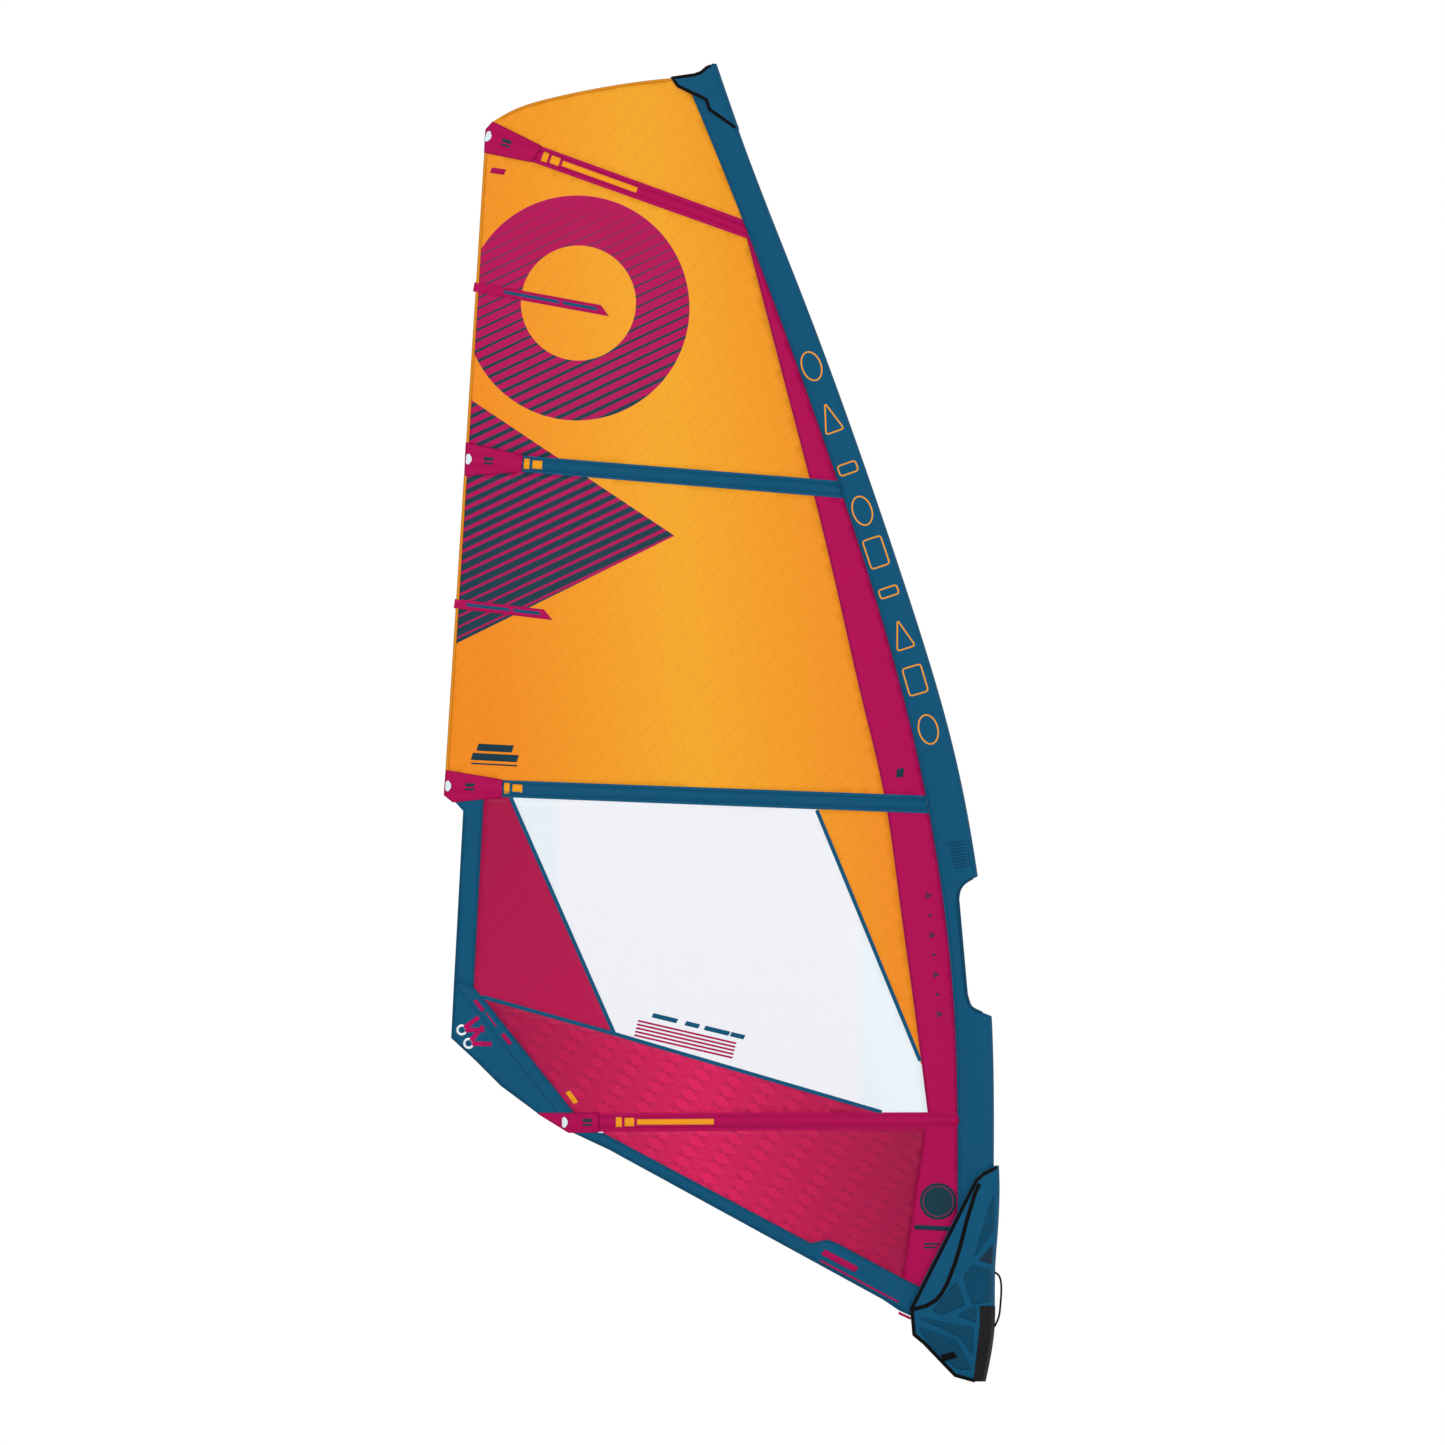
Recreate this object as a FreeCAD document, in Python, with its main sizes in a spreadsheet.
import FreeCAD, Part
import math
import os

# Windsurf sail: camber-free wave sail of four square metres, rigged, starboard side towards -Y.
# X points forward along the chord, Z up along the luff, and the origin is the mast's axis at the foot.

os.makedirs("parts", exist_ok=True)
doc = FreeCAD.newDocument("windsurf_sail")
Vec = FreeCAD.Vector
UP = Vec(0, 0, 1)

# ---------------------------------------------------------------- sizes
sizes = doc.addObject("Spreadsheet::Sheet", "Sizes")
SIZES = {
    "film_gauge": 1.4,
    "hem_gauge": 2.6,
    "patch_gauge": 2.2,
    "tape_gauge": 0.8,
    "webbing_gauge": 1.6,
    "sleeve_gauge": 1.2,
    "cutter_reach": 900,
    "batten_radius": 4.5,
    "pocket_bore_radius": 5.3,
    "pocket_outer_radius": 6.7,
    "end_cap_radius": 5.0,
    "end_cap_length": 18,
    "lath_pocket_gauge": 4.6,
    "lath_space_gauge": 2.4,
    "lath_gauge": 1.8,
    "block_length": 16,
    "block_height": 30,
    "block_depth": 17,
    "housing_length": 28,
    "housing_height": 20,
    "housing_depth": 15,
    "head_radius": 4.0,
    "head_length": 7,
    "head_recess_radius": 4.3,
    "head_recess_depth": 9,
    "hex_across": 4,
    "hex_depth": 4,
    "screw_radius": 2.5,
    "screw_hole_radius": 2.56,
    "screw_reach": 27.5,
    "slider_radius": 5.5,
    "slider_length": 16,
    "slider_bore_radius": 5.56,
    "slider_start": 22,
    "eyelet_radius": 16,
    "eyelet_hole_radius": 9,
    "eyelet_thickness": 7,
    "sheave_radius": 12,
    "sheave_width": 9,
    "sheave_bore_radius": 3.06,
    "groove_radius": 2.6,
    "axle_radius": 3.0,
    "axle_length": 38,
    "cheek_thickness": 2.5,
    "cup_radius": 18,
    "cup_bore_radius": 14.5,
    "cup_length": 52,
    "cup_bore_depth": 45,
    "loop_radius": 3.5,
    "fairing_wall": 3.0,
    "piping_gauge": 2.2,
}
for row, (alias, value) in enumerate(SIZES.items(), start=1):
    sizes.set("A%d" % row, alias)
    sizes.set("B%d" % row, str(value))
    sizes.setAlias("B%d" % row, alias)
doc.recompute()


def size(alias):
    return float(sizes.get(alias))


def bind(obj, **links):
    for name, formula in links.items():
        obj.setExpression(name.replace("__", "."), formula)
    return obj


def spaced(start, end, count):
    return [start + (end - start) * i / (count - 1) for i in range(count)]


def smooth(stations):
    """Natural cubic spline through (position, value) stations."""
    at = [station[0] for station in stations]
    value = [station[1] for station in stations]
    last = len(at) - 1
    step = [at[i + 1] - at[i] for i in range(last)]
    rise = [(value[i + 1] - value[i]) / step[i] for i in range(last)]
    sweep = [0.0] * (last + 1)
    carry = [0.0] * (last + 1)
    for i in range(1, last):
        pivot = 2 * (step[i - 1] + step[i]) - step[i - 1] * sweep[i - 1]
        sweep[i] = step[i] / pivot
        carry[i] = (6 * (rise[i] - rise[i - 1]) - step[i - 1] * carry[i - 1]) / pivot
    bend = [0.0] * (last + 1)
    for i in range(last - 1, 0, -1):
        bend[i] = carry[i] - sweep[i] * bend[i + 1]

    def curve(p):
        i = 0
        while i < last - 1 and p > at[i + 1]:
            i += 1
        a = (at[i + 1] - p) / step[i]
        b = 1 - a
        arch = (a**3 - a) * bend[i] + (b**3 - b) * bend[i + 1]
        return a * value[i] + b * value[i + 1] + arch * step[i] ** 2 / 6

    return curve


# ---------------------------------------------------------------- the sail's lines
luff_x = smooth(
    [
        (180, 29), (620, 31), (1040, 25), (1430, -14), (1790, -82), (2220, -208),
        (2640, -350), (3070, -508), (3490, -671), (3760, -765),
    ]
)
seam_x = smooth(
    [
        (180, -72), (620, -72), (1040, -81), (1430, -122), (1790, -189), (2220, -304),
        (2640, -441), (3070, -596), (3490, -759), (3760, -872),
    ]
)
depth = smooth(
    [(0, 6), (200, 12), (600, 42), (1000, 64), (1700, 60), (2600, 42), (3300, 22), (3600, 8), (3800, 3)]
)
NOSE_FOOT, NOSE_HEAD = 27.0, 21.0
LUFF_TOP = 3730.0


def leech_x(z):
    return -1409 - 0.0628 * (3564 - z)


def twist(z):
    return 90.0 * max(0.0, (z - 700) / 3000.0) ** 1.5


def belly(x, z):
    """How far the film's middle stands off the mast's plane, towards +Y."""
    part = (seam_x(z) - x) / (seam_x(z) - leech_x(z))
    back = max(0.0, 1 - part)
    return -5.656 * depth(z) * part * back**1.6 - twist(z) * part * part


def nose(z):
    return NOSE_FOOT + (NOSE_HEAD - NOSE_FOOT) * (z - 180) / (LUFF_TOP - 180)


# ---------------------------------------------------------------- helpers
SIDE = FreeCAD.Rotation(Vec(1, 0, 0), 90)


def sketch(label, runs, place):
    """Closed outline; each run is two points for a straight edge or more for a curve through them."""
    obj = doc.addObject("Sketcher::SketchObject", label)
    obj.Placement = place
    for run in runs:
        points = [Vec(a, b, 0) for a, b in run]
        if len(points) == 2:
            obj.addGeometry(Part.LineSegment(points[0], points[1]), False)
        else:
            curve = Part.BSplineCurve()
            curve.interpolate(points)
            obj.addGeometry(curve, False)
    return obj


def polygon(points):
    return [[points[i], points[(i + 1) % len(points)]] for i in range(len(points))]


def prism(label, runs):
    """Cutter with the given outline in the sail's side view, running right through in Y."""
    base = sketch(label + "_outline", runs, FreeCAD.Placement(Vec(0, 0, 0), SIDE))
    obj = doc.addObject("Part::Extrusion", label)
    obj.Base = base
    obj.DirMode = "Custom"
    obj.Dir = Vec(0, 1, 0)
    obj.Symmetric = True
    obj.Solid = True
    return bind(obj, LengthFwd="Sizes.cutter_reach")


def pair(kind, label, base, tool):
    obj = doc.addObject("Part::" + kind, label)
    obj.Base = base
    obj.Tool = tool
    return obj


def common(label, base, tool):
    return pair("Common", label, base, tool)


def cut(label, base, tool):
    return pair("Cut", label, base, tool)


def fuse(label, shapes):
    obj = doc.addObject("Part::MultiFuse", label)
    obj.Shapes = shapes
    return obj


def loft(label, sections, ruled=False):
    obj = doc.addObject("Part::Loft", label)
    obj.Sections = sections
    obj.Solid = True
    obj.Ruled = ruled
    return obj


def box(label, length, width, height, place):
    obj = doc.addObject("Part::Box", label)
    obj.Placement = place
    return bind(obj, Length=length, Width=width, Height=height)


def cylinder(label, radius, height, place):
    obj = doc.addObject("Part::Cylinder", label)
    obj.Placement = place
    return bind(obj, Radius=radius, Height=height)


NODES = {}


def node(name, obj):
    obj.Label = name
    NODES[name] = obj
    return obj


def gather(name, shapes):
    """Several loose solids handed over as one sub-part."""
    obj = doc.addObject("Part::Compound", name)
    obj.Links = shapes
    return node(name, obj)


# ---------------------------------------------------------------- the film
def film(label, thickness, offset="0"):
    """The sail's middle surface, thickened in Y by the named thickness about the named offset."""
    rows = []
    for z in spaced(90, 3790, 19):
        row = []
        for part in spaced(-0.04, 1.03, 17):
            x = seam_x(z) + part * (leech_x(z) - seam_x(z))
            row.append(Vec(x, belly(x, z), z))
        rows.append(row)
    surface = Part.BSplineSurface()
    surface.interpolate(rows)
    sheet = doc.addObject("Part::Feature", label + "_surface")
    sheet.Shape = surface.toShape()
    bind(sheet, Placement__Base__y=offset)
    obj = doc.addObject("Part::Extrusion", label)
    obj.Base = sheet
    obj.DirMode = "Custom"
    obj.Dir = Vec(0, 1, 0)
    obj.Symmetric = True
    obj.Solid = True
    return bind(obj, LengthFwd=thickness)


def seam_run(z_from, z_to, count=14):
    return [(seam_x(z), z) for z in spaced(z_from, z_to, count)]


HEAD_CURVE = [(-1390, 3573), (-1332, 3606), (-1250, 3634), (-1120, 3663), (-941, 3691), (-882, 3697)]
FOOT_EDGE = [
    (-1528, 1664), (-1503, 1644), (-1474, 1619), (-1483, 1451), (-1508, 975), (-1440, 912),
    (-1367, 839), (-1264, 761), (-1175, 707), (-1060, 658), (-283, 232), (-239, 202), (-205, 185),
]
SEAM_FOOT, SEAM_HEAD = 180.0, 3700.0
front_line = seam_run(SEAM_FOOT, SEAM_HEAD, 24)
rim = [HEAD_CURVE]
rim += [[HEAD_CURVE[-1], front_line[-1]], front_line[::-1]]
lower = [front_line[0]] + FOOT_EDGE[::-1] + [(-1414, 3486), (-1410, 3551), HEAD_CURVE[0]]
rim += [[lower[i], lower[i + 1]] for i in range(len(lower) - 1)]
sail_zone = prism("sail_zone", rim)

raw_film = film("raw_film", "Sizes.film_gauge")
sail_film = common("sail_film", raw_film, sail_zone)

# ---------------------------------------------------------------- battens and their pockets
# Each batten's line in the side view: tail at the leech, head at the sleeve, and its pocket's corners.
BATTENS = [
    ((-1411, 3534), (-673, 3268), [(-1252, 3504), (-681, 3297), (-665, 3240), (-1280, 3459)]),
    ((-1466, 2617), (-405, 2531), [(-1305, 2627), (-415, 2556), (-396, 2505), (-1309, 2580)]),
    ((-1524, 1690), (-158, 1637), [(-1363, 1707), (-164, 1663), (-152, 1611), (-1365, 1658)]),
    ((-1193, 736), (-70, 741), [(-1090, 762), (-80, 765), (-80, 718), (-1090, 709)]),
]
PATCHES = [
    [(-1390, 3640), (-1390, 3573), (-1252, 3504), (-1280, 3459), (-1440, 3483)],
    [(-1490, 2668), (-1305, 2627), (-1309, 2580), (-1490, 2569)],
    [(-1540, 1737), (-1363, 1707), (-1365, 1658), (-1503, 1644), (-1540, 1610)],
    [(-1300, 762), (-1090, 762), (-1090, 709), (-1175, 706), (-1300, 690)],
]
BATTEN_START = 38.3
PATCH_POCKET = 64.0


def batten_point(tail, head, along):
    """Point on a batten's line, the given distance from its tail in the side view."""
    run = math.hypot(head[0] - tail[0], head[1] - tail[1])
    x = tail[0] + (head[0] - tail[0]) * along / run
    z = tail[1] + (head[1] - tail[1]) * along / run
    return Vec(x, belly(x, z), z)


def batten_frame(tail, head):
    """Place and directions at a batten's tail: forward, up, and across towards port."""
    start = batten_point(tail, head, 0)
    forward = (batten_point(tail, head, 60) - start).normalize()
    across = forward.cross(UP).normalize() * -1
    up = forward.cross(across).normalize() * -1
    if up.z < 0:
        up = up * -1
    across = up.cross(forward).normalize()
    return start, forward, up, across


def spine(label, points):
    curve = Part.BSplineCurve()
    curve.interpolate(points)
    obj = doc.addObject("Part::Feature", label)
    obj.Shape = curve.toShape()
    return obj


def tube(label, path, radius):
    """Round bar of the named radius swept along a path."""
    edge = path.Shape.Edges[0]
    start = edge.valueAt(edge.FirstParameter)
    way = edge.tangentAt(edge.FirstParameter)
    ring = doc.addObject("Part::Circle", label + "_ring")
    ring.Placement = FreeCAD.Placement(start, FreeCAD.Rotation(UP, way))
    bind(ring, Radius=radius)
    obj = doc.addObject("Part::Sweep", label)
    obj.Sections = [ring]
    obj.Spine = (path, ["Edge1"])
    obj.Solid = True
    obj.Frenet = False
    return obj


def local_box(label, frame, start, length, height, deep):
    """Box along a batten's line from a distance ahead of its tail, centred across it."""
    origin, forward, up, across = frame
    turn = FreeCAD.Rotation(forward, across, up, "XZY")
    corner = origin + forward * start - across * (size_of(deep) / 2) - up * (size_of(height) / 2)
    return box(label, length, deep, height, FreeCAD.Placement(corner, turn))


def size_of(formula):
    """Value of a bound size written as Sizes.name or Sizes.name + number."""
    terms = formula.replace("Sizes.", "").split("+")
    total = 0.0
    for term in terms:
        word = term.strip()
        total += size(word) if word in SIZES else float(word)
    return total


def local_cylinder(label, frame, start, radius, height):
    origin, forward = frame[0], frame[1]
    place = FreeCAD.Placement(origin + forward * start, FreeCAD.Rotation(UP, forward))
    return cylinder(label, radius, height, place)


patch_film = film("patch_film", "Sizes.patch_gauge")
patch_sail = common("patch_sail", patch_film, sail_zone)
pocket_zones = []
end_patches = []
housings = []
front_caps = []
for number, ((tail, head, corners), patch) in enumerate(zip(BATTENS, PATCHES), start=1):
    tag = "_%d" % number
    frame = batten_frame(tail, head)
    total = math.hypot(head[0] - tail[0], head[1] - tail[1])
    cap_length = size("end_cap_length")
    reach = total - 8
    stations = spaced(BATTEN_START, reach - cap_length - 1, 9)
    path = spine("batten_path" + tag, [batten_point(tail, head, d) for d in stations])
    node("batten" + tag, tube("batten_rod" + tag, path, "Sizes.batten_radius"))
    tunnel_stations = spaced(PATCH_POCKET, reach, 9)
    tunnel = spine("tunnel_path" + tag, [batten_point(tail, head, d) for d in tunnel_stations])
    bore_stations = spaced(PATCH_POCKET - 24, reach + 6, 9)
    bore = spine("bore_path" + tag, [batten_point(tail, head, d) for d in bore_stations])
    outer = tube("pocket_outer" + tag, tunnel, "Sizes.pocket_outer_radius")
    inner = tube("pocket_inner" + tag, bore, "Sizes.pocket_bore_radius")
    slope = Vec(head[0] - tail[0], 0, head[1] - tail[1]).normalize()
    quad = list(corners)
    for k in (1, 2):
        quad[k] = (corners[k][0] + 60 * slope.x, corners[k][1] + 60 * slope.z)
    zone = prism("pocket_zone" + tag, polygon(quad))
    patch_zone = prism("patch_zone" + tag, polygon(patch))
    pocket_zones += [zone, patch_zone]
    strip = common("pocket_strip" + tag, sail_film, zone)
    wall = common("pocket_wall" + tag, outer, zone)
    pocket = fuse("pocket_body" + tag, [strip, common("pocket_cover" + tag, wall, sail_zone)])
    node("batten_pocket" + tag, cut("pocket_open" + tag, pocket, inner))
    # plastic cap on the batten's front end
    cap_at = batten_point(tail, head, reach - cap_length)
    cap_way = (batten_point(tail, head, reach) - cap_at).normalize()
    cap = cylinder(
        "front_cap" + tag,
        "Sizes.end_cap_radius",
        "Sizes.end_cap_length",
        FreeCAD.Placement(cap_at, FreeCAD.Rotation(UP, cap_way)),
    )
    front_caps.append(cap)
    # tensioner: a housing with a screw that drives a slider against the batten's tail
    block = local_box("block" + tag, frame, 0, "Sizes.block_length", "Sizes.block_height", "Sizes.block_depth")
    body = local_box(
        "body" + tag, frame, 15.9, "Sizes.housing_length", "Sizes.housing_height", "Sizes.housing_depth"
    )
    solid_housing = fuse("housing_solid" + tag, [block, body])
    recess = local_cylinder(
        "head_recess" + tag, frame, -0.5, "Sizes.head_recess_radius", "Sizes.head_recess_depth"
    )
    neck = local_cylinder("screw_hole" + tag, frame, 0, "Sizes.screw_hole_radius", "20")
    channel = local_cylinder("slider_bore" + tag, frame, 14, "Sizes.slider_bore_radius", "40")
    hollow = fuse("housing_hollow" + tag, [recess, neck, channel])
    housings.append(cut("housing" + tag, solid_housing, hollow))
    screw_head = local_cylinder("screw_head" + tag, frame, 1.3, "Sizes.head_radius", "Sizes.head_length")
    shank = local_cylinder("screw_shank" + tag, frame, 8.2, "Sizes.screw_radius", "Sizes.screw_reach")
    socket = doc.addObject("Part::Prism", "hex_socket" + tag)
    socket.Polygon = 6
    socket.Placement = FreeCAD.Placement(frame[0] + frame[1] * 0.9, FreeCAD.Rotation(UP, frame[1]))
    bind(socket, Circumradius="Sizes.hex_across / 1.732", Height="Sizes.hex_depth")
    screw = cut("screw_cut" + tag, fuse("screw_solid" + tag, [screw_head, shank]), socket)
    node("tensioner_screw" + tag, screw)
    slug = local_cylinder("slug" + tag, frame, size("slider_start"), "Sizes.slider_radius", "Sizes.slider_length")
    thread = local_cylinder("thread" + tag, frame, 12, "Sizes.screw_hole_radius", "40")
    node("tensioner_slider" + tag, cut("slider_cut" + tag, slug, thread))
    # reinforced end patch with a socket for the housing
    flat_patch = common("patch_sheet" + tag, patch_sail, patch_zone)
    pouch = local_box(
        "pouch" + tag, frame, 17, "Sizes.housing_length + 14", "Sizes.housing_height + 4", "Sizes.housing_depth + 3"
    )
    sleeve = common("patch_tunnel" + tag, outer, patch_zone)
    sewn = fuse("patch_body" + tag, [flat_patch, pouch, sleeve])
    free = cut("patch_housing" + tag, sewn, solid_housing)
    end_patches.append(cut("patch" + tag, free, inner))

gather("batten_front_caps", front_caps)
gather("tensioner_housings", housings)
gather("batten_end_patches", end_patches)

# ---------------------------------------------------------------- short leech battens
LATHS = [((-1442, 3105), (-1070, 3037)), ((-1497, 2207), (-1231, 2175))]
LATH_POCKET_HALF, LATH_HALF = 14.0, 7.0
lath_shell = film("lath_shell", "Sizes.lath_pocket_gauge")
lath_shell_sail = common("lath_shell_sail", lath_shell, sail_zone)
lath_space = film("lath_space", "Sizes.lath_space_gauge")
lath_core = film("lath_core", "Sizes.lath_gauge")
lath_pockets = []
laths = []


def strip_corners(start, end, half, short_start, short_end):
    """Corners of a straight strip between two points, cut short or run on at either end."""
    run = math.hypot(end[0] - start[0], end[1] - start[1])
    ux, uz = (end[0] - start[0]) / run, (end[1] - start[1]) / run
    a = (start[0] + ux * short_start, start[1] + uz * short_start)
    b = (end[0] - ux * short_end, end[1] - uz * short_end)
    return [
        (a[0] - uz * half, a[1] + ux * half),
        (b[0] - uz * half, b[1] + ux * half),
        (b[0] + uz * half, b[1] - ux * half),
        (a[0] + uz * half, a[1] - ux * half),
    ]


for number, (tail, head) in enumerate(LATHS, start=1):
    tag = "_%d" % number
    zone = prism("lath_zone" + tag, polygon(strip_corners(tail, head, LATH_POCKET_HALF, -20, 0)))
    space = prism("lath_gap" + tag, polygon(strip_corners(tail, head, LATH_HALF + 0.5, 14, 9)))
    line = prism("lath_line" + tag, polygon(strip_corners(tail, head, LATH_HALF, 15, 10)))
    pocket_zones.append(zone)
    full = common("lath_pocket_full" + tag, lath_shell_sail, zone)
    lath_pockets.append(cut("lath_pocket" + tag, full, common("lath_void" + tag, lath_space, space)))
    laths.append(common("lath" + tag, lath_core, line))
gather("mini_batten_pockets", lath_pockets)
gather("mini_battens", laths)

# ---------------------------------------------------------------- panels between the battens
all_pockets = fuse("all_pockets", pocket_zones)
open_film = cut("open_film", sail_film, all_pockets)

HEM = 9.0
hem_inner = [(x, z - HEM) for x, z in HEAD_CURVE]
head_hem = [hem_inner, [hem_inner[-1], (-882, 3760)], [(-882, 3760), (-1440, 3760)]]
head_hem += [[(-1440, 3760), (-1440, hem_inner[0][1])], [(-1440, hem_inner[0][1]), hem_inner[0]]]
leech_strip = [
    (leech_x(1640) + HEM, 1640), (leech_x(3500) + HEM, 3500), (leech_x(3500) - 60, 3500), (leech_x(1640) - 60, 1640),
]
hem_zone = fuse("hem_zone", [prism("head_hem_zone", head_hem), prism("leech_hem_zone", polygon(leech_strip))])
hem_film = film("hem_film", "Sizes.hem_gauge")
hem_sail = cut("hem_sail", common("hem_rim", hem_film, sail_zone), all_pockets)
node("leech_hem", common("hem", hem_sail, hem_zone))

# Foot band along the lower edge, then the luff panels, then what is left between.
FOOT_BAND = [
    (-1200, 704), (-1077, 704), (-489, 394), (-440, 404), (-409, 391), (-180, 270), (-50, 201), (-50, 90), (-1200, 90),
]
foot_zone = prism("foot_zone", polygon(FOOT_BAND))
hemmed = cut("hemmed_film", open_film, hem_zone)
node("foot_band", common("foot_band_film", hemmed, foot_zone))
above_foot = cut("above_foot", hemmed, foot_zone)

LUFF_REAR = [
    (-676, 3266), (-624, 3067), (-550, 2784), (-476, 2500), (-408, 2217), (-343, 1933),
    (-283, 1678), (-237, 1366), (-198, 1083), (-157, 765),
]
luff_runs = [LUFF_REAR]
luff_back = [LUFF_REAR[-1], (-162, 717), (-240, 180), (120, 180), (120, 1700), (-520, 3266), LUFF_REAR[0]]
luff_runs += [[luff_back[i], luff_back[i + 1]] for i in range(len(luff_back) - 1)]
luff_zone = prism("luff_zone", luff_runs)
luff_film = common("luff_film", above_foot, luff_zone)
body_film = cut("body_film", above_foot, luff_zone)

HEAD_LINE = [(-1700, 3638), (-480, 3199)]
UPPER_LINE = [(-1700, 2636), (-300, 2523)]
MIDDLE_LINE = [(-1700, 1697), (120, 1627)]
FOOT_LINE = [(-1700, 734), (120, 742)]


def between(label, upper, below):
    return prism(label, polygon([upper[0], upper[1], below[1], below[0]]))


top_zone = prism("top_zone", polygon([(-1700, 3900), (-480, 3900), HEAD_LINE[1], HEAD_LINE[0]]))
upper_zone = between("upper_zone", HEAD_LINE, UPPER_LINE)
middle_zone = between("middle_zone", UPPER_LINE, MIDDLE_LINE)
window_zone = between("window_zone", MIDDLE_LINE, FOOT_LINE)
bottom_zone = between("bottom_zone", FOOT_LINE, [(-1700, 60), (120, 60)])
node("head_panel", common("head_film", body_film, top_zone))
node("upper_panel", common("upper_film", body_film, upper_zone))
node("middle_panel", common("middle_film", body_film, middle_zone))
node("foot_panel", common("foot_film", body_film, bottom_zone))
node("luff_panel_upper", common("luff_upper_film", luff_film, upper_zone))
node("luff_panel_middle", common("luff_middle_film", luff_film, middle_zone))
node("luff_panel_lower", common("luff_lower_film", luff_film, window_zone))
node("luff_panel_foot", common("luff_foot_film", luff_film, bottom_zone))

# Panels round the window: corner points shared by neighbours.
BAND_TOP, BAND_FOOT, BAND_EDGE = (-1412, 1710), (-1444, 1120), (-1500, 1134)
CLEW_CORNER, CLEW_FOOT = (-1420, 1092), (-1142, 740)
REAR_TOP, KNEE = (-1363, 1710), (-1045, 987)
FRONT_TOP, FRONT_FOOT = (-511, 1710), (-176, 902)
SILL = (-198, 740)
ROUND_WINDOW = {
    "leech_band": [(-1600, 1710), BAND_TOP, BAND_FOOT, BAND_EDGE, (-1600, 1134)],
    "clew_patch": [(-1600, 1134), BAND_EDGE, BAND_FOOT, CLEW_CORNER, CLEW_FOOT, (-1600, 740)],
    "window_leech_panel": [BAND_TOP, REAR_TOP, KNEE, CLEW_CORNER, BAND_FOOT],
    "window_panel": [REAR_TOP, FRONT_TOP, FRONT_FOOT, (-100, 902), (-100, 740), SILL, KNEE],
    "window_luff_panel": [FRONT_TOP, (-60, 1710), (-60, 902), FRONT_FOOT],
    "lower_panel": [CLEW_CORNER, KNEE, SILL, CLEW_FOOT],
}
CLEW_RINGS = {"clew_eyelet_upper": (-1477.5, 998), "clew_eyelet_lower": (-1458, 960)}
WEBBING = {
    "clew_eyelet_upper": [(-1430, 1034), (-1414, 998)],
    "clew_eyelet_lower": [(-1417, 1009), (-1393, 958)],
}
window_film = common("window_film", body_film, window_zone)


def ring_place(x, z):
    """Placement whose Z axis is normal to the film at a point, the ring centred on the film."""
    side = 8.0
    across = Vec(2 * side, belly(x + side, z) - belly(x - side, z), 0)
    rise = Vec(0, belly(x, z + side) - belly(x, z - side), 2 * side)
    normal = rise.cross(across).normalize()
    centre = Vec(x, belly(x, z), z) - normal * (size("eyelet_thickness") / 2)
    return FreeCAD.Placement(centre, FreeCAD.Rotation(UP, normal)), normal


ring_blanks = []
for name, (x, z) in CLEW_RINGS.items():
    place, normal = ring_place(x, z)
    blank = cylinder(name + "_blank", "Sizes.eyelet_radius", "Sizes.eyelet_thickness", place)
    hole_place = FreeCAD.Placement(place.Base - normal * 10, place.Rotation)
    hole = cylinder(name + "_hole", "Sizes.eyelet_hole_radius", "Sizes.eyelet_thickness + 20", hole_place)
    ring_blanks.append(blank)
    node(name, cut(name + "_ring", blank, hole))
both_rings = fuse("both_rings", ring_blanks)
for name, points in ROUND_WINDOW.items():
    panel = common(name + "_film", window_film, prism(name + "_zone", polygon(points)))
    if name == "clew_patch":
        panel = cut("clew_patch_pierced", panel, both_rings)
    node(name, panel)

# Seam tapes on the starboard face, with the clew's webbing in the same layer but thicker.
TAPE_HALF = 5.5
tape_film = film("tape_film", "Sizes.tape_gauge", "-(Sizes.film_gauge + Sizes.tape_gauge) / 2")
tape_runs = [
    strip_corners(REAR_TOP, KNEE, TAPE_HALF, 0, -2),
    strip_corners(FRONT_TOP, FRONT_FOOT, TAPE_HALF, 0, -4),
    strip_corners(CLEW_CORNER, KNEE, TAPE_HALF, 0, -1),
    strip_corners(KNEE, SILL, TAPE_HALF, -1, 0),
]
tape_zone = fuse("tape_zone", [prism("tape_line_%d" % i, polygon(run)) for i, run in enumerate(tape_runs)])
tape_layer = common("tape_layer", common("tape_sail", tape_film, sail_zone), tape_zone)
node("window_seam_tapes", common("tapes", cut("tape_clear", tape_layer, all_pockets), window_zone))

webbing_film = film("webbing_film", "Sizes.webbing_gauge", "-(Sizes.film_gauge + Sizes.webbing_gauge) / 2")
strap_zones = []
for name, ends in WEBBING.items():
    for side, end in enumerate(ends):
        corners = strip_corners(CLEW_RINGS[name], end, 7, 0, 0)
        strap_zones.append(prism("%s_strap_%d" % (name, side), polygon(corners)))
straps = common("straps", webbing_film, fuse("strap_zone", strap_zones))
node("clew_webbing", cut("clew_straps", straps, both_rings))

# ---------------------------------------------------------------- mast sleeve
SLEEVE_LEVELS = [210, 620, 1040, 1235, 1430, 1790, 2220, 2640, 3070, 3490, 3760]


def horizontal(label, z, edges):
    """Closed section at a height; each edge is a line of two points or an arc of three."""
    obj = doc.addObject("Sketcher::SketchObject", label)
    obj.Placement = FreeCAD.Placement(Vec(0, 0, z), FreeCAD.Rotation())
    for points in edges:
        corners = [Vec(a, b, 0) for a, b in points]
        if len(corners) == 2:
            obj.addGeometry(Part.LineSegment(corners[0], corners[1]), False)
        elif len(corners) == 3:
            obj.addGeometry(Part.Arc(corners[0], corners[1], corners[2]), False)
        else:
            curve = Part.BSplineCurve()
            curve.interpolate(corners)
            obj.addGeometry(curve, False)
    return obj


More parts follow.
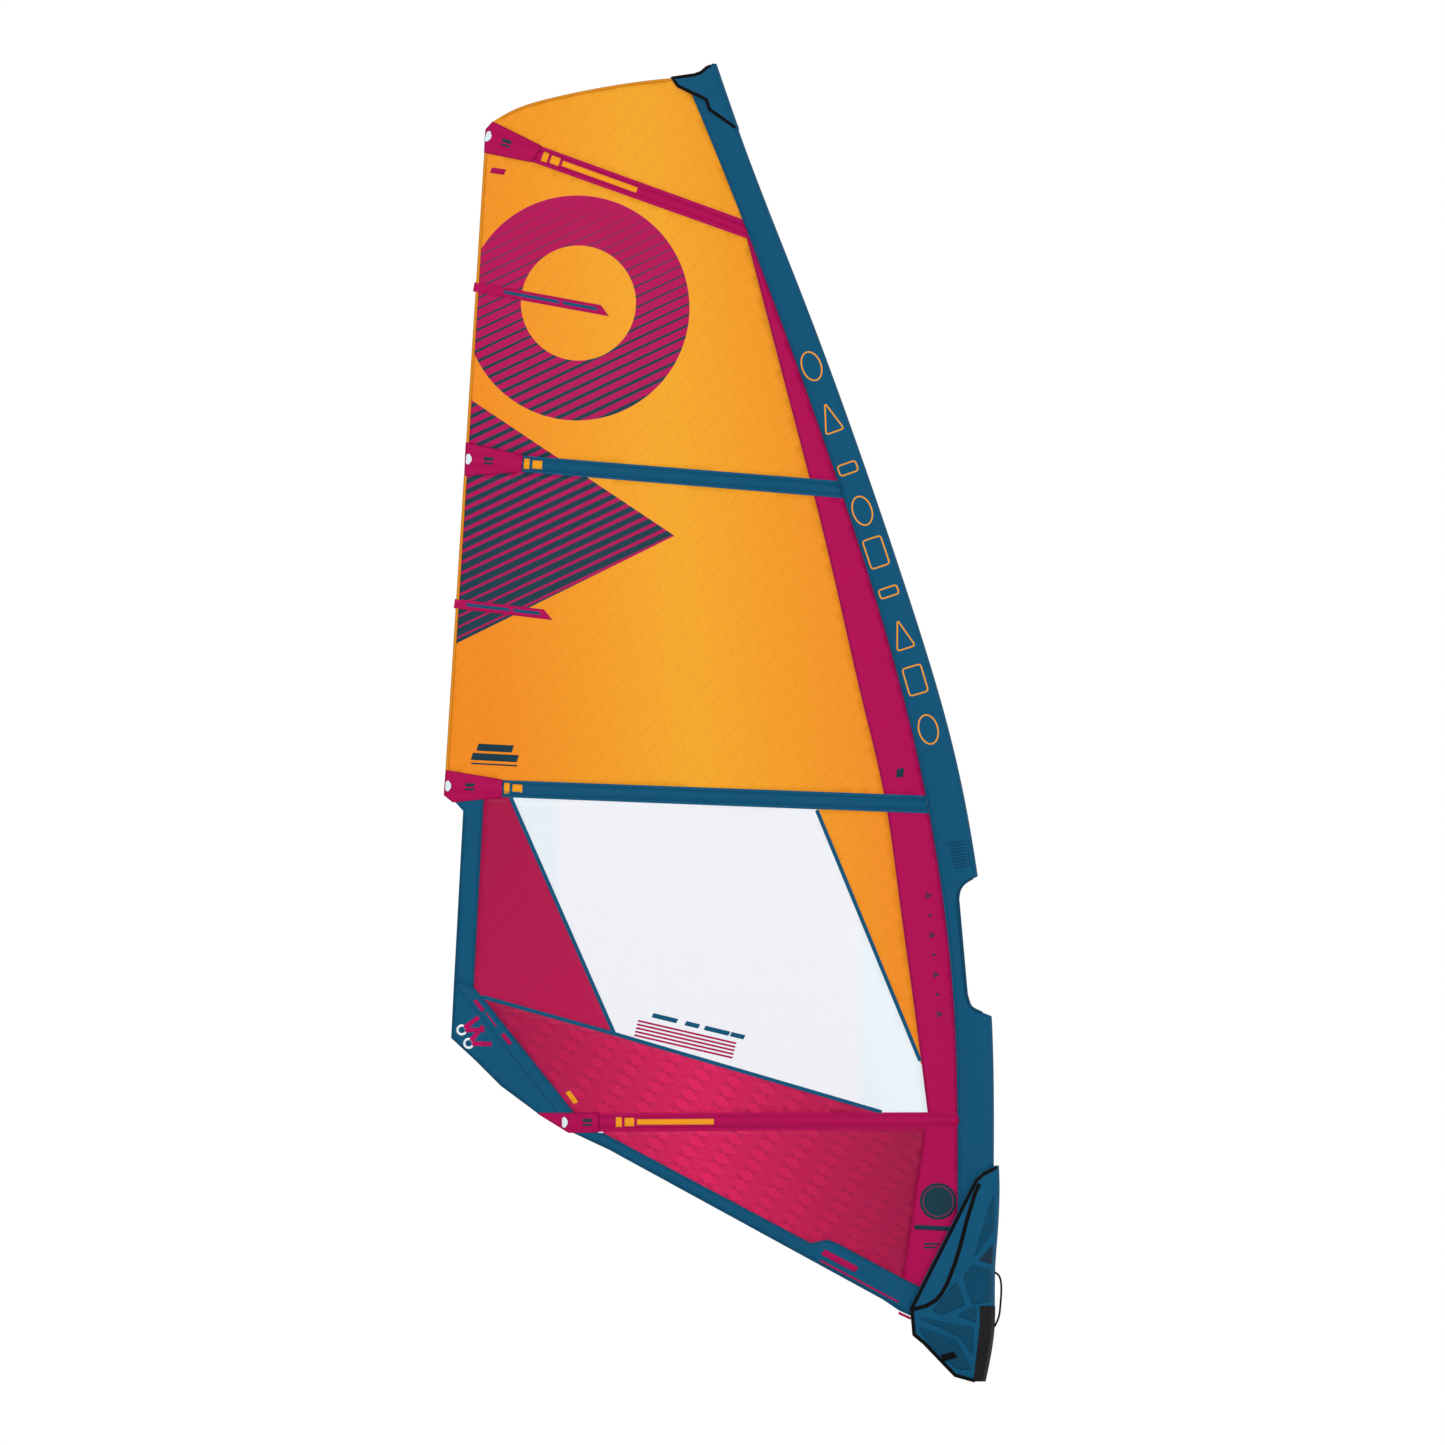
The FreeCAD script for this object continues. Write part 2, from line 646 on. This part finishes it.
def sleeve_lines(z, grow, wall, rear_run=6.0, rear_half=1.4):
    """Key points of the starboard half of the sleeve's teardrop section at a height."""
    radius = nose(z) + grow
    centre = luff_x(z) - nose(z)
    rear = (seam_x(z) - rear_run, -rear_half - grow)
    dx, dy = centre - rear[0], -rear[1]
    slope = math.atan2(dy, dx) - math.asin(radius / math.hypot(dx, dy))
    out = (math.sin(slope), -math.cos(slope))
    middle = (slope - math.pi / 2) / 2

    def arc(r):
        tip = (centre + r, 0.0)
        mid = (centre + r * math.cos(middle), r * math.sin(middle))
        end = (centre + r * out[0], r * out[1])
        return tip, mid, end

    rear_in = (rear[0] - wall * out[0], rear[1] - wall * out[1])
    return arc(radius), arc(radius - wall), rear, rear_in


def sleeve_piece(label, part, levels, grow, wall, **options):
    sections = []
    for z in levels:
        outer, inner, rear, rear_in = sleeve_lines(z, grow, wall, **options)
        if part == "nose":
            edges = [outer, (outer[2], inner[2]), (inner[2], inner[1], inner[0]), (inner[0], outer[0])]
        elif part == "side":
            edges = [(outer[2], rear), (rear, rear_in), (rear_in, inner[2]), (inner[2], outer[2])]
        else:
            edges = [outer, (outer[2], rear), (rear, (rear[0], 0.0)), ((rear[0], 0.0), outer[0])]
        sections.append(horizontal("%s_%d" % (label, int(z)), z, edges))
    return loft(label, sections)


CUTOUT_TOP = [(-12, 1434), (-50, 1414), (-67, 1369)]
CUTOUT_FOOT = [(-43, 1100), (-22, 1058), (25, 1040)]
cutout = [CUTOUT_TOP, [CUTOUT_TOP[-1], CUTOUT_FOOT[0]], CUTOUT_FOOT, [CUTOUT_FOOT[-1], (90, 1034)]]
cutout += [[(90, 1034), (90, 1446)], [(90, 1446), CUTOUT_TOP[0]]]
boom_cutout = prism("boom_cutout", cutout)
top_trim = prism("sleeve_top_trim", polygon([(-960, 3672), (-800, 3701), (-690, 3714), (-690, 3900), (-960, 3900)]))
sleeve_trim = fuse("sleeve_trim", [boom_cutout, top_trim, sail_zone])
nose_piece = sleeve_piece("sleeve_nose", "nose", SLEEVE_LEVELS, 0, size("sleeve_gauge"))
side_piece = sleeve_piece("sleeve_side", "side", SLEEVE_LEVELS, 0, size("sleeve_gauge"))
SIDE_SPANS = {"low": (100, 1100), "notch": (1100, 1369), "high": (1369, 3900)}
starboard_side = cut("starboard_side", side_piece, sleeve_trim)
starboard_parts = [cut("starboard_nose", nose_piece, sleeve_trim)]
for word, (z_from, z_to) in SIDE_SPANS.items():
    corners = [(-1100, z_from), (200, z_from), (200, z_to), (-1100, z_to)]
    span = prism("side_span_" + word, polygon(corners))
    starboard_parts.append(common("starboard_side_" + word, starboard_side, span))
gather("sleeve_starboard", starboard_parts)
port_parts = []
for source in starboard_parts:
    twin = doc.addObject("Part::Mirroring", source.Name.replace("starboard", "port"))
    twin.Source = source
    twin.Normal = Vec(0, 1, 0)
    port_parts.append(twin)
gather("sleeve_port", port_parts)

# ---------------------------------------------------------------- head cap and mast tip cup
CAP_LEVELS = [3440, 3560, 3680, 3800]


def whole(label, half):
    twin = doc.addObject("Part::Mirroring", label + "_twin")
    twin.Source = half
    twin.Normal = Vec(0, 1, 0)
    return fuse(label, [half, twin])


cap_outer = whole("cap_outer", sleeve_piece("cap_out", "full", CAP_LEVELS, 2.6, 0, rear_run=48, rear_half=4))
cap_inner = whole("cap_inner", sleeve_piece("cap_in", "full", CAP_LEVELS, 0.3, 0, rear_run=48, rear_half=4))
CAP = [
    (-886, 3701), (-816, 3710), (-800, 3717), (-785, 3731), (-757, 3739),
    (-680, 3740), (-680, 3549), (-702, 3554), (-778, 3606), (-787, 3634), (-868, 3671),
]
CAP_SPACE = [(-960, 3697), (-816, 3706), (-799, 3713), (-784, 3727), (-700, 3733), (-600, 3500), (-960, 3500)]
cap_zone = prism("cap_zone", polygon(CAP))
cap_space = prism("cap_space", polygon(CAP_SPACE))
cap_full = common("cap_full", cap_outer, cap_zone)
cap_void = common("cap_void", cap_inner, cap_space)
node("head_cap", cut("cap_shell", cap_full, cap_void))

MAST_WAY = Vec(luff_x(3700) - luff_x(3600), 0, 100).normalize()
cup_foot = Vec(luff_x(3640) - nose(3640) - 0.5, 0, 3640)
cup_turn = FreeCAD.Rotation(UP, MAST_WAY)
cup_blank = cylinder("cup_blank", "Sizes.cup_radius", "Sizes.cup_length", FreeCAD.Placement(cup_foot, cup_turn))
cup_hole = cylinder(
    "cup_hole",
    "Sizes.cup_bore_radius",
    "Sizes.cup_bore_depth + 10",
    FreeCAD.Placement(cup_foot - MAST_WAY * 10, cup_turn),
)
node("mast_tip_cup", cut("cup", cup_blank, cup_hole))

# ---------------------------------------------------------------- tack fairing
# Levels: height, front, reach back, half width, half width where it lies on the sail behind.
FAIRING = [
    (-12, 4, -150, 30, 9), (60, 19, -200, 38, 9), (140, 31, -230, 44, 10), (220, 34, -235, 46, 11),
    (320, 35, -190, 45, 11), (420, 42, -130, 43, 12), (520, 47, -80, 40, 18), (580, 47, -50, 37, 27),
    (640, 44, -30, 34, 30),
]
WALL = size("fairing_wall")


def fairing_curve(front, back, half, rear_half, shrink):
    """Starboard outline of a fairing section, from its front to its rear edge."""
    nose_x = front - shrink
    middle = min(4.0, front - 25)
    width = half - shrink
    rear = rear_half - shrink
    blend_x = middle + (back - middle) * 0.45
    blend_y = rear + (width - rear) * 0.62
    flat_x = blend_x + (back - blend_x) * 0.5
    flat_y = rear + (blend_y - rear) * 0.45
    return [
        (nose_x, 0.0), (nose_x - 5.5, -0.52 * width), (middle + 14, -0.86 * width), (middle, -width),
        (blend_x, -blend_y), (flat_x, -flat_y), (back, -rear),
    ]


def fairing_shell(label, grow, wall):
    """Shell open to the rear, wrapped round the front of the sleeve."""
    sections = []
    for z, front, back, half, rear_half in FAIRING:
        outer = fairing_curve(front, back, half, rear_half, -grow)
        inner = fairing_curve(front, back, half, rear_half, wall - grow)
        runs = []
        for side in (outer, inner):
            right = [(x, -y) for x, y in side[::-1]]
            runs.append(right + side[1:])
        outer_run, inner_run = runs
        edges = [outer_run, (outer_run[-1], inner_run[-1]), inner_run[::-1], (inner_run[0], outer_run[0])]
        sections.append(horizontal("%s_%d" % (label, int(z + 20)), z, edges))
    return loft(label, sections)


FAIRING_SIDE = [
    (-14, 0), (-79, 14), (-174, 112), (-200, 130), (-207, 206), (-207, 214), (-20, 583), (2, 598), (43, 618),
    (90, 640), (90, -40), (20, -40),
]
side_zone = prism("fairing_side", polygon(FAIRING_SIDE))
shell = common("fairing_body", fairing_shell("fairing_loft", 0, WALL), side_zone)
# The starboard half folds forward about a line just ahead of the nose, and the rest stays on the sail.
FOLD_Y = 5.0
FOLD_GAP = 0.6


def slab(label, x_from, x_to, y_from, y_to):
    """Everything between two places along the chord and two distances from the mast's plane."""
    obj = doc.addObject("Part::Box", label)
    obj.Length = x_to - x_from
    obj.Width = y_to - y_from
    obj.Height = 900
    obj.Placement.Base = Vec(x_from, y_from, -100)
    return obj


FOLD_BACK = -60.0
moving_side = fuse(
    "moving_side",
    [slab("moving_front", FOLD_BACK, 120, -150, -FOLD_Y - FOLD_GAP), slab("moving_back", -400, FOLD_BACK, -150, -0.3)],
)
fixed_side = fuse(
    "fixed_side",
    [slab("fixed_front", FOLD_BACK, 120, -FOLD_Y, 150), slab("fixed_back", -400, FOLD_BACK + 1, 0.3, 150)],
)
bumper_zone = prism("bumper_zone", polygon([(-60, -60), (120, -60), (120, 216), (-9, 216), (-9, 160), (-22, -2)]))
flap_half = common("flap_half", shell, moving_side)
rest_half = common("rest_half", shell, fixed_side)
node("fairing_flap", cut("flap_shell", flap_half, bumper_zone))
node("fairing_flap_bumper", common("flap_bumper", flap_half, bumper_zone))
node("fairing_port", cut("port_shell", rest_half, bumper_zone))
node("fairing_bumper", common("bumper", rest_half, bumper_zone))

# raised piping along the fairing's edges and down its side, and the flap's pull tab
PIPING_HALF = 4.5
trim_shell = fairing_shell("trim_loft", size("piping_gauge"), size("piping_gauge"))
OUTER_LINE = [(-79, 20), (-168, 112), (-196, 134), (-202, 206), (-20, 566), (4, 590)]
INNER_LINE = [(-22, 556), (-47, 454), (-79, 337), (-102, 278), (-133, 224), (-202, 204)]


def ribbon(label, points):
    parts = []
    for i in range(len(points) - 1):
        corners = strip_corners(points[i], points[i + 1], PIPING_HALF, -3, -3)
        parts.append(prism("%s_%d" % (label, i), polygon(corners)))
    return fuse(label, parts)


tab_zone = prism("tab_zone", polygon([(-110, 60), (-70, 69), (-84, 84), (-118, 78)]))
piping_zone = fuse("piping_zone", [ribbon("outer_piping", OUTER_LINE), ribbon("inner_piping", INNER_LINE)])
all_trim = common("all_trim", trim_shell, side_zone)
trim_zone = fuse("trim_zone", [piping_zone, tab_zone])
node("fairing_trim_flap", common("flap_trim", common("flap_side_trim", all_trim, moving_side), trim_zone))
port_side = slab("port_side", -400, 120, 0.5, 150)
node("fairing_trim_port", common("port_trim", common("port_side_trim", all_trim, port_side), piping_zone))

LOOP = [(30, 308), (43, 304), (50, 288), (51, 262), (48, 214), (43, 182), (30, 158)]
loop_path = spine("loop_path", [Vec(x, 0, z) for x, z in LOOP])
loop_bar = tube("loop_bar", loop_path, "Sizes.loop_radius")
node("handle_loop", cut("handle_loop_bar", loop_bar, fairing_shell("loop_inside", 0, 24)))

# ---------------------------------------------------------------- tack block
BLOCK_X, BLOCK_Z = -54.0, 128.0
SHEAVE_PITCH = 10.0
AFT = FreeCAD.Rotation(Vec(0, 1, 0), 90)
ACROSS = FreeCAD.Rotation(Vec(0, 1, 0), UP, Vec(1, 0, 0), "ZXY")


def edges_sketch(label, edges, place):
    """Closed section of lines (two points) and arcs (three points)."""
    obj = doc.addObject("Sketcher::SketchObject", label)
    obj.Placement = place
    for points in edges:
        corners = [Vec(a, b, 0) for a, b in points]
        if len(corners) == 2:
            obj.addGeometry(Part.LineSegment(corners[0], corners[1]), False)
        else:
            obj.addGeometry(Part.Arc(corners[0], corners[1], corners[2]), False)
    return obj


half_width = size("sheave_width") / 2
rim_radius = size("sheave_radius")
groove_half = size("groove_radius")
bore_radius = size("sheave_bore_radius")
for number in (1, 2, 3):
    middle = BLOCK_X + (number - 2) * SHEAVE_PITCH
    section = edges_sketch(
        "sheave_section_%d" % number,
        [
            ((-half_width, bore_radius), (-half_width, rim_radius)),
            ((-half_width, rim_radius), (-groove_half, rim_radius)),
            ((-groove_half, rim_radius), (0, rim_radius - groove_half), (groove_half, rim_radius)),
            ((groove_half, rim_radius), (half_width, rim_radius)),
            ((half_width, rim_radius), (half_width, bore_radius)),
            ((half_width, bore_radius), (-half_width, bore_radius)),
        ],
        FreeCAD.Placement(Vec(middle, 0, BLOCK_Z), SIDE),
    )
    wheel = doc.addObject("Part::Revolution", "sheave_%d" % number)
    wheel.Source = section
    wheel.Axis = Vec(1, 0, 0)
    wheel.Base = Vec(middle, 0, BLOCK_Z)
    wheel.Angle = 360
    wheel.Solid = True
    node("tack_sheave_%d" % number, wheel)
axle_place = FreeCAD.Placement(Vec(BLOCK_X - size("axle_length") / 2, 0, BLOCK_Z), AFT)
axle = cylinder("axle", "Sizes.axle_radius", "Sizes.axle_length", axle_place)
node("tack_axle", axle)
CHEEK_HALF = 16.0
cheeks = []
for side in (-1, 1):
    inner_face = BLOCK_X + side * CHEEK_HALF
    start = inner_face if side > 0 else inner_face - size("cheek_thickness")
    outline_points = [(-11, -12), (11, -12), (11, 14), (7, 34), (-7, 34), (-11, 14)]
    plate = sketch(
        "cheek_outline_%d" % max(side, 0),
        polygon(outline_points),
        FreeCAD.Placement(Vec(start, 0, BLOCK_Z), ACROSS),
    )
    cheek = doc.addObject("Part::Extrusion", "cheek_%d" % max(side, 0))
    cheek.Base = plate
    cheek.DirMode = "Custom"
    cheek.Dir = Vec(1, 0, 0)
    cheek.Solid = True
    bind(cheek, LengthFwd="Sizes.cheek_thickness")
    cheeks.append(cheek)
bar_place = FreeCAD.Placement(Vec(BLOCK_X - CHEEK_HALF, 0, BLOCK_Z + 26), AFT)
bar = cylinder("block_bar", "Sizes.axle_radius", "32", bar_place)
frame_solid = fuse("block_frame", cheeks + [bar])
node("tack_block", cut("block_bored", frame_solid, axle))

# webbing round the block's bar, sewn to the tack on both faces of the sail
STRAP_HALF, STRAP_GAUGE, STRAP_TOP = 3.4, 1.6, 209.5
strap_x0, strap_x1 = BLOCK_X - 13.5, BLOCK_X + 13.5
bar_z = BLOCK_Z + 26
outer_r = STRAP_HALF + STRAP_GAUGE
strap_edges = [
    ((-outer_r, STRAP_TOP), (-outer_r, bar_z)),
    ((-outer_r, bar_z), (0, bar_z - outer_r), (outer_r, bar_z)),
    ((outer_r, bar_z), (outer_r, STRAP_TOP)),
    ((outer_r, STRAP_TOP), (STRAP_HALF, STRAP_TOP)),
    ((STRAP_HALF, STRAP_TOP), (STRAP_HALF, bar_z)),
    ((STRAP_HALF, bar_z), (0, bar_z - STRAP_HALF), (-STRAP_HALF, bar_z)),
    ((-STRAP_HALF, bar_z), (-STRAP_HALF, STRAP_TOP)),
    ((-STRAP_HALF, STRAP_TOP), (-outer_r, STRAP_TOP)),
]
strap_sketch = edges_sketch("tack_strap_outline", strap_edges, FreeCAD.Placement(Vec(strap_x0, 0, 0), ACROSS))
strap = doc.addObject("Part::Extrusion", "tack_strap")
strap.Base = strap_sketch
strap.DirMode = "Custom"
strap.Dir = Vec(1, 0, 0)
strap.Solid = True
strap.LengthFwd = strap_x1 - strap_x0
node("tack_webbing", strap)

# ---------------------------------------------------------------- recompute, check, write
doc.recompute()
bad = [obj.Name for obj in doc.Objects if "Invalid" in obj.State or "Error" in obj.State]
if bad:
    raise SystemExit("objects in error: %s" % bad)
for name, obj in NODES.items():
    shape = obj.Shape
    if shape.isNull() or not shape.isValid() or not shape.Solids:
        raise SystemExit("bad shape: " + name)
    limits = shape.BoundBox
    print(
        "%-22s solids %2d volume %10.0f  x %7.1f %7.1f  y %6.1f %6.1f  z %7.1f %7.1f"
        % (name, len(shape.Solids), shape.Volume, limits.XMin, limits.XMax, limits.YMin, limits.YMax,
           limits.ZMin, limits.ZMax)
    )
    shape.exportStep("parts/%s.step" % name)
print("nodes", len(NODES))
